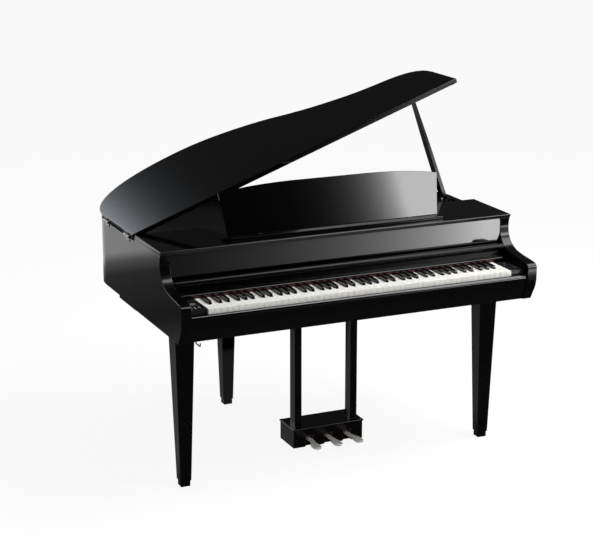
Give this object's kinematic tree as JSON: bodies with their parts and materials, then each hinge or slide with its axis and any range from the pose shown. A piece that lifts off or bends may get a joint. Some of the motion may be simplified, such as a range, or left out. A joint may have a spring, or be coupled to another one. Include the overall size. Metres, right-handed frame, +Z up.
{
  "type": "digital grand piano",
  "caption": "small digital grand piano in black lacquer, lid up on its prop, music rest raised, with moving keys, pedals, key cover and controls",
  "frame": {"origin": "on the floor under the middle of the footprint, feet at z = 0", "axes": "+X to the player's right (treble), +Y away from the player towards the tail, +Z up"},
  "size_m": [1.4388, 1.147, 1.3988],
  "materials": {
    "black_lacquer": "high-gloss black lacquer over wood",
    "satin_black_board": "satin black paint over board",
    "white_key_resin": "satin white",
    "black_key_resin": "matte black",
    "red_felt": "felt",
    "nickel": "polished nickel plate",
    "zinc_steel": "zinc plated",
    "black_plastic": "fine matte",
    "circuit_board": "solder-resist green",
    "speaker": "paper cone and steel basket"
  },
  "bodies": {
    "case": {"rim": "black_lacquer", "cheek_left": "black_lacquer", "cheek_right": "black_lacquer", "key_bed": "satin_black_board", "rear_bottom_board": "satin_black_board", "inner_deck": "satin_black_board", "top_board": "black_lacquer", "front_panel": "black_lacquer", "key_rail": "black_lacquer", "key_felt": "red_felt", "key_slip": "black_lacquer", "key_block_left": "satin_black_board", "key_block_right": "satin_black_board", "key_frame": "zinc_steel", "rest_hinge": "zinc_steel", "music_ledge": "black_lacquer", "hinge_leaf_case_front": "nickel", "hinge_leaf_case_rear": "nickel", "prop_bracket": "zinc_steel", "leg_front_left": "black_lacquer", "leg_front_right": "black_lacquer", "leg_rear": "black_lacquer", "lyre": "black_lacquer", "pedal_box": "black_lacquer", "pedal_shaft": "zinc_steel", "headphone_hanger": "zinc_steel", "woofer_left": "speaker", "woofer_right": "speaker", "main_board": "circuit_board", "power_supply": "circuit_board", "mains_inlet": "black_plastic"},
    "lid": {"lid": "black_lacquer", "hinge_leaf_lid_front": "nickel", "hinge_leaf_lid_rear": "nickel", "prop_cup": "nickel"},
    "prop": {"lid_prop": "black_lacquer"},
    "rest": {"music_rest": "black_lacquer"},
    "bail": {"rest_bail": "zinc_steel"},
    "cover": {"key_cover": "black_lacquer"},
    "white_keys_1": {"keys_white_1": "white_key_resin"},
    "white_keys_2": {"keys_white_2": "white_key_resin"},
    "white_keys_3": {"keys_white_3": "white_key_resin"},
    "white_keys_4": {"keys_white_4": "white_key_resin"},
    "white_keys_5": {"keys_white_5": "white_key_resin"},
    "white_keys_6": {"keys_white_6": "white_key_resin"},
    "white_keys_7": {"keys_white_7": "white_key_resin"},
    "black_keys_1": {"keys_black_1": "black_key_resin"},
    "black_keys_2": {"keys_black_2": "black_key_resin"},
    "black_keys_3": {"keys_black_3": "black_key_resin"},
    "black_keys_4": {"keys_black_4": "black_key_resin"},
    "black_keys_5": {"keys_black_5": "black_key_resin"},
    "black_keys_6": {"keys_black_6": "black_key_resin"},
    "black_keys_7": {"keys_black_7": "black_key_resin"},
    "pedal_left_lever": {"pedal_left": "nickel"},
    "pedal_middle_lever": {"pedal_middle": "nickel"},
    "pedal_right_lever": {"pedal_right": "nickel"},
    "voice_button": {"button_voice": "black_plastic"},
    "song_button": {"button_song": "black_plastic"},
    "power": {"power_button": "black_plastic"},
    "volume": {"volume_slider": "black_plastic"}
  },
  "joints": [
    {"name": "lid_hinge", "type": "hinge", "parent": "case", "child": "lid", "pos_m": [-0.71463, 0.116, 0.887], "axis": [0, -1, 0], "range_deg": [0, 12]},
    {"name": "prop_pivot", "type": "hinge", "parent": "case", "child": "prop", "pos_m": [0.68137, 0.0885, 0.872], "axis": [0, -1, 0], "range_deg": [0, 69.9]},
    {"name": "rest_tilt", "type": "hinge", "parent": "case", "child": "rest", "pos_m": [0.00937, -0.282, 0.9115], "axis": [-1, 0, 0], "range_deg": [0, 72.6]},
    {"name": "bail_pivot", "type": "hinge", "parent": "rest", "child": "bail", "pos_m": [0.00937, -0.25359, 1.00215], "axis": [-1, 0, 0], "range_deg": [-145.2, 0]},
    {"name": "cover_slide", "type": "slide", "parent": "case", "child": "cover", "axis": [0, -0.9766, -0.2149], "range_m": [0, 0.1669]},
    {"name": "white_keys_1_press", "type": "hinge", "parent": "case", "child": "white_keys_1", "pos_m": [0.00937, -0.3165, 0.725], "axis": [1, 0, 0], "range_deg": [0, 2.44], "stiffness_Nm_per_rad": 12, "springref_deg": -17.19},
    {"name": "white_keys_2_press", "type": "hinge", "parent": "case", "child": "white_keys_2", "pos_m": [0.00937, -0.3165, 0.725], "axis": [1, 0, 0], "range_deg": [0, 2.44], "stiffness_Nm_per_rad": 12, "springref_deg": -17.19},
    {"name": "white_keys_3_press", "type": "hinge", "parent": "case", "child": "white_keys_3", "pos_m": [0.00937, -0.3165, 0.725], "axis": [1, 0, 0], "range_deg": [0, 2.44], "stiffness_Nm_per_rad": 12, "springref_deg": -17.19},
    {"name": "white_keys_4_press", "type": "hinge", "parent": "case", "child": "white_keys_4", "pos_m": [0.00937, -0.3165, 0.725], "axis": [1, 0, 0], "range_deg": [0, 2.44], "stiffness_Nm_per_rad": 12, "springref_deg": -17.19},
    {"name": "white_keys_5_press", "type": "hinge", "parent": "case", "child": "white_keys_5", "pos_m": [0.00937, -0.3165, 0.725], "axis": [1, 0, 0], "range_deg": [0, 2.44], "stiffness_Nm_per_rad": 12, "springref_deg": -17.19},
    {"name": "white_keys_6_press", "type": "hinge", "parent": "case", "child": "white_keys_6", "pos_m": [0.00937, -0.3165, 0.725], "axis": [1, 0, 0], "range_deg": [0, 2.44], "stiffness_Nm_per_rad": 12, "springref_deg": -17.19},
    {"name": "white_keys_7_press", "type": "hinge", "parent": "case", "child": "white_keys_7", "pos_m": [0.00937, -0.3165, 0.725], "axis": [1, 0, 0], "range_deg": [0, 2.44], "stiffness_Nm_per_rad": 12, "springref_deg": -17.19},
    {"name": "black_keys_1_press", "type": "hinge", "parent": "case", "child": "black_keys_1", "pos_m": [0.00937, -0.3165, 0.725], "axis": [1, 0, 0], "range_deg": [0, 2.44], "stiffness_Nm_per_rad": 6, "springref_deg": -17.19},
    {"name": "black_keys_2_press", "type": "hinge", "parent": "case", "child": "black_keys_2", "pos_m": [0.00937, -0.3165, 0.725], "axis": [1, 0, 0], "range_deg": [0, 2.44], "stiffness_Nm_per_rad": 6, "springref_deg": -17.19},
    {"name": "black_keys_3_press", "type": "hinge", "parent": "case", "child": "black_keys_3", "pos_m": [0.00937, -0.3165, 0.725], "axis": [1, 0, 0], "range_deg": [0, 2.44], "stiffness_Nm_per_rad": 6, "springref_deg": -17.19},
    {"name": "black_keys_4_press", "type": "hinge", "parent": "case", "child": "black_keys_4", "pos_m": [0.00937, -0.3165, 0.725], "axis": [1, 0, 0], "range_deg": [0, 2.44], "stiffness_Nm_per_rad": 6, "springref_deg": -17.19},
    {"name": "black_keys_5_press", "type": "hinge", "parent": "case", "child": "black_keys_5", "pos_m": [0.00937, -0.3165, 0.725], "axis": [1, 0, 0], "range_deg": [0, 2.44], "stiffness_Nm_per_rad": 6, "springref_deg": -17.19},
    {"name": "black_keys_6_press", "type": "hinge", "parent": "case", "child": "black_keys_6", "pos_m": [0.00937, -0.3165, 0.725], "axis": [1, 0, 0], "range_deg": [0, 2.44], "stiffness_Nm_per_rad": 6, "springref_deg": -17.19},
    {"name": "black_keys_7_press", "type": "hinge", "parent": "case", "child": "black_keys_7", "pos_m": [0.00937, -0.3165, 0.725], "axis": [1, 0, 0], "range_deg": [0, 2.44], "stiffness_Nm_per_rad": 6, "springref_deg": -17.19},
    {"name": "pedal_left_press", "type": "hinge", "parent": "case", "child": "pedal_left_lever", "pos_m": [-0.07063, -0.1365, 0.06], "axis": [1, 0, 0], "range_deg": [0, 5.7], "stiffness_Nm_per_rad": 20, "springref_deg": -8.59},
    {"name": "pedal_middle_press", "type": "hinge", "parent": "case", "child": "pedal_middle_lever", "pos_m": [0.00937, -0.1365, 0.06], "axis": [1, 0, 0], "range_deg": [0, 5.7], "stiffness_Nm_per_rad": 20, "springref_deg": -8.59},
    {"name": "pedal_right_press", "type": "hinge", "parent": "case", "child": "pedal_right_lever", "pos_m": [0.08937, -0.1365, 0.06], "axis": [1, 0, 0], "range_deg": [0, 5.7], "stiffness_Nm_per_rad": 20, "springref_deg": -8.59},
    {"name": "voice_button_press", "type": "slide", "parent": "case", "child": "voice_button", "axis": [0, 0, -1], "range_m": [0, 0.0015], "stiffness_N_per_m": 300, "springref_m": -0.003},
    {"name": "song_button_press", "type": "slide", "parent": "case", "child": "song_button", "axis": [0, 0, -1], "range_m": [0, 0.0015], "stiffness_N_per_m": 300, "springref_m": -0.003},
    {"name": "power_button_press", "type": "slide", "parent": "case", "child": "power", "axis": [0, 0, -1], "range_m": [0, 0.0015], "stiffness_N_per_m": 300, "springref_m": -0.003},
    {"name": "volume_slide", "type": "slide", "parent": "case", "child": "volume", "axis": [0, 1, 0], "range_m": [-0.017, 0.017]}
  ],
  "couplings": [
    {"joint": "bail_pivot", "follows": "rest_tilt", "ratio": -2}
  ]
}
